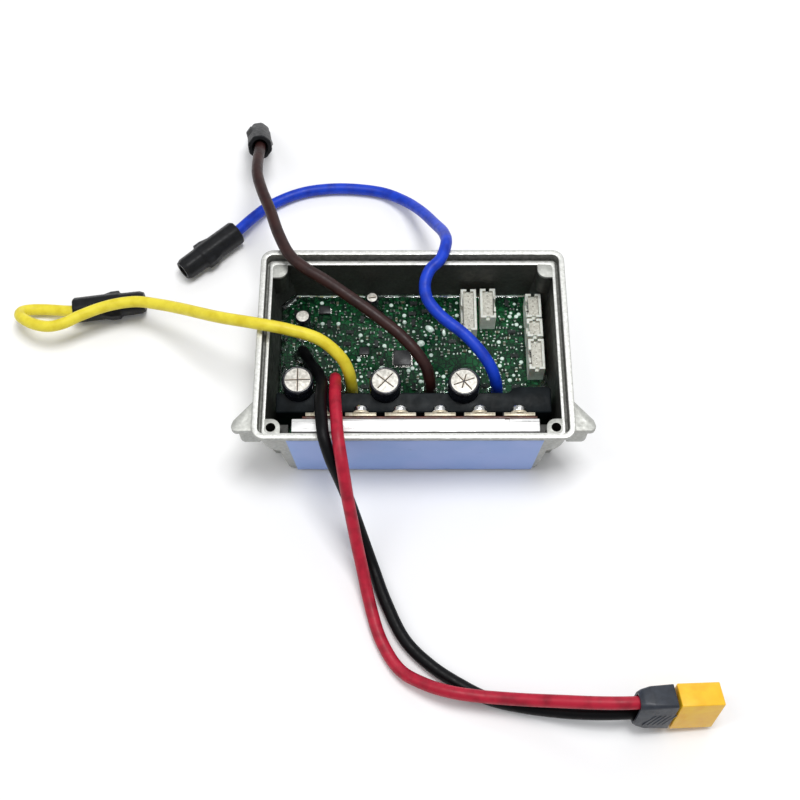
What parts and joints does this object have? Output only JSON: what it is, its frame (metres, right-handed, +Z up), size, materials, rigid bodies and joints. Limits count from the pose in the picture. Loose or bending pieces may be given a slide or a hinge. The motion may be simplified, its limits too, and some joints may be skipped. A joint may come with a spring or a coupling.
{
  "type": "electronic speed controller",
  "caption": "Open die-cast motor controller: power transistors on a heat bar, potted circuit board, capacitors, headers and flying leads with bullet and battery plugs.",
  "frame": {"origin": "middle of the tub's underside, on the surface that it stands on", "axes": "+Z up out of the open tub; +X along its long side, to the right seen from the thermal pad; +Y from the thermal pad to the rear wall"},
  "size_m": [0.2496, 0.246, 0.0388],
  "materials": {
    "cast_aluminium": "die-cast, matt with a fine grain, brighter worn edges",
    "thermal_pad": "soft silicone gap pad, matt",
    "bar_aluminium": "milled, pale satin",
    "insulating_film": "thin red-brown insulating film",
    "transistor": "black moulded epoxy with a tinned metal tab",
    "screw_steel": "nickel-plated steel, bright",
    "washer_steel": "plated steel, slightly yellow",
    "capacitor": "black shrink sleeve, unprinted",
    "capacitor_top": "bare etched aluminium with pressed vent grooves",
    "board": "green solder mask",
    "solder": "bright solder",
    "chip": "black moulded epoxy",
    "header_nylon": "natural white nylon",
    "header_pin": "tinned brass",
    "dark_potting": "dark glossy compound",
    "clear_resin": "clear glossy gel",
    "wire_red": "silicone sleeve, satin",
    "wire_black": "silicone sleeve, satin",
    "wire_yellow": "silicone sleeve, satin",
    "wire_brown": "silicone sleeve, satin",
    "wire_blue": "silicone sleeve, satin",
    "plug_black": "black nylon, slightly glossy",
    "contact_gold": "gold-plated brass",
    "plug_yellow": "amber-yellow nylon",
    "plug_sheath": "dark grey moulded cap, ribbed"
  },
  "bodies": {
    "root": {"housing": "cast_aluminium", "thermal_pad": "thermal_pad", "heat_bar": "bar_aluminium", "insulating_film": "insulating_film", "main_board": "board", "dark_potting": "dark_potting", "clear_resin": "clear_resin", "controller_chip": "chip", "regulator_chip": "chip", "driver_chip": "chip", "battery_wire_red": "wire_red", "battery_wire_black": "wire_black", "phase_wire_yellow": "wire_yellow", "phase_wire_brown": "wire_brown", "phase_wire_blue": "wire_blue", "battery_plug_shell": "plug_yellow", "battery_plug_sheath": "plug_sheath", "battery_pin_positive": "contact_gold", "battery_pin_negative": "contact_gold", "mosfet_1": "transistor", "mosfet_screw_1": "screw_steel", "washer_1": "washer_steel", "mosfet_2": "transistor", "mosfet_screw_2": "screw_steel", "washer_2": "washer_steel", "mosfet_3": "transistor", "mosfet_screw_3": "screw_steel", "washer_3": "washer_steel", "mosfet_4": "transistor", "mosfet_screw_4": "screw_steel", "washer_4": "washer_steel", "mosfet_5": "transistor", "mosfet_screw_5": "screw_steel", "washer_5": "washer_steel", "mosfet_6": "transistor", "mosfet_screw_6": "screw_steel", "washer_6": "washer_steel", "bulk_capacitor_1": "capacitor", "bulk_capacitor_2": "capacitor", "bulk_capacitor_3": "capacitor", "small_capacitor_1": "capacitor", "small_capacitor_2": "capacitor", "header_left_6pin": "header_nylon", "header_mid_4pin": "header_nylon", "header_right_3pin": "header_nylon", "header_right_2pin": "header_nylon", "header_right_4pin": "header_nylon", "phase_plug_yellow": "plug_black", "phase_contact_yellow": "contact_gold", "phase_plug_brown": "plug_black", "phase_contact_brown": "contact_gold", "phase_plug_blue": "plug_black", "phase_contact_blue": "contact_gold"}
  },
  "joints": []
}
